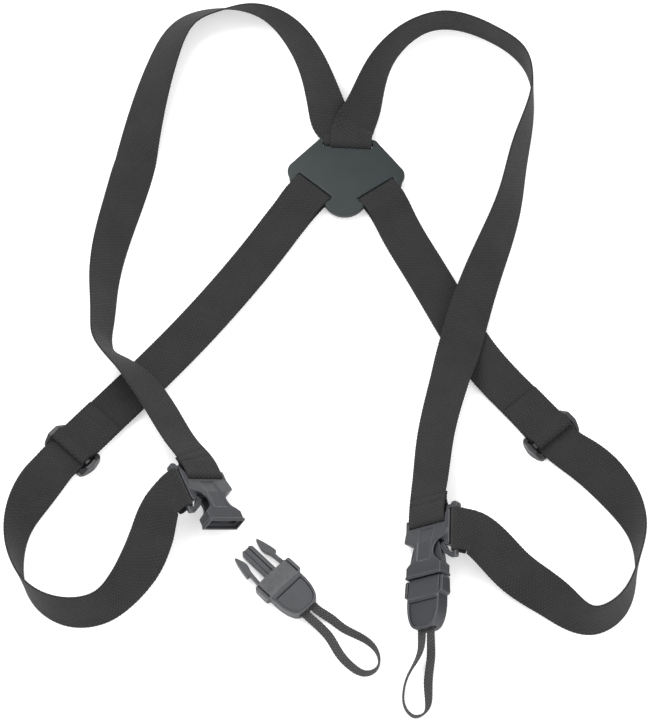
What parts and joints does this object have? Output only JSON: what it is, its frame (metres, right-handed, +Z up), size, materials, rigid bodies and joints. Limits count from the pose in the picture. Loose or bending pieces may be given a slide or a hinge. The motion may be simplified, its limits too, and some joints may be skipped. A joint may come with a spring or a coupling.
{
  "type": "webbing carrying harness",
  "caption": "Webbing chest harness: shoulder and side straps joined by a three-way yoke plate, with slide adjusters and side-release buckles with cord loops.",
  "frame": {"origin": "centre of the laid-out harness's bounding box, without its cord loops, on the surface it lies on", "axes": "+Y from the buckles to the shoulder straps, +X to the right as it lies, +Z up"},
  "size_m": [0.363, 0.4623, 0.0302],
  "materials": {
    "webbing": "woven",
    "moulded_plastic": "satin",
    "yoke_plastic": "satin",
    "cord": "woven",
    "thread": "stitched",
    "crimp_metal": "brushed"
  },
  "bodies": {
    "harness": {"yoke_plate": "yoke_plastic", "shoulder_strap_left": "webbing", "side_strap_left": "webbing", "return_layer_left": "webbing", "buckle_socket_left": "moulded_plastic", "stitching_shoulder_left": "thread", "stitching_side_left": "thread", "shoulder_strap_right": "webbing", "side_strap_right": "webbing", "return_layer_right": "webbing", "buckle_socket_right": "moulded_plastic", "stitching_shoulder_right": "thread", "stitching_side_right": "thread"},
    "adjuster_left": {"slide_adjuster_left": "moulded_plastic", "sewn_end_left": "webbing", "stitching_adjuster_left": "thread"},
    "plug_left": {"buckle_plug_left": "moulded_plastic", "plug_cover_left": "moulded_plastic", "cord_crimp_left": "crimp_metal", "cord_loop_left": "cord"},
    "prong_left_outer": {"prong_left_outer": "moulded_plastic"},
    "prong_left_inner": {"prong_left_inner": "moulded_plastic"},
    "adjuster_right": {"slide_adjuster_right": "moulded_plastic", "sewn_end_right": "webbing", "stitching_adjuster_right": "thread"},
    "plug_right": {"buckle_plug_right": "moulded_plastic", "plug_cover_right": "moulded_plastic", "cord_crimp_right": "crimp_metal", "cord_loop_right": "cord"},
    "prong_right_outer": {"prong_right_outer": "moulded_plastic"},
    "prong_right_inner": {"prong_right_inner": "moulded_plastic"}
  },
  "joints": [
    {"name": "adjuster_left_slide", "type": "slide", "parent": "harness", "child": "adjuster_left", "axis": [0.682, 0.7314, 0], "range_m": [0, 0.02], "deforming": ["return_layer_left"]},
    {"name": "adjuster_right_slide", "type": "slide", "parent": "harness", "child": "adjuster_right", "axis": [-0.6561, 0.7547, 0], "range_m": [0, 0.02], "deforming": ["return_layer_right"]},
    {"name": "plug_right_release", "type": "slide", "parent": "harness", "child": "plug_right", "axis": [-0.0349, -0.9994, 0], "range_m": [0, 0.035], "deforming": ["prong_right_outer", "prong_right_inner"]},
    {"name": "plug_left_slide", "type": "slide", "parent": "harness", "child": "plug_left", "axis": [-0.7071, 0.7071, 0], "range_m": [0, 0.005]},
    {"name": "prong_left_outer_flex", "type": "hinge", "parent": "plug_left", "child": "prong_left_outer", "pos_m": [-0.03688, -0.17728, 0.0045], "axis": [0, 0, -1], "range_deg": [0, 8], "stiffness_Nm_per_rad": 0.3},
    {"name": "prong_left_inner_flex", "type": "hinge", "parent": "plug_left", "child": "prong_left_inner", "pos_m": [-0.02372, -0.16412, 0.0045], "axis": [0, 0, 1], "range_deg": [0, 8], "stiffness_Nm_per_rad": 0.3},
    {"name": "prong_right_outer_flex", "type": "hinge", "parent": "plug_right", "child": "prong_right_outer", "pos_m": [0.05077, -0.17665, 0.00692], "axis": [0.6424, -0.0224, -0.766], "range_deg": [0, 8], "stiffness_Nm_per_rad": 0.3},
    {"name": "prong_right_inner_flex", "type": "hinge", "parent": "plug_right", "child": "prong_right_inner", "pos_m": [0.06501, -0.17715, 0.01888], "axis": [-0.6424, 0.0224, 0.766], "range_deg": [0, 8], "stiffness_Nm_per_rad": 0.3}
  ]
}
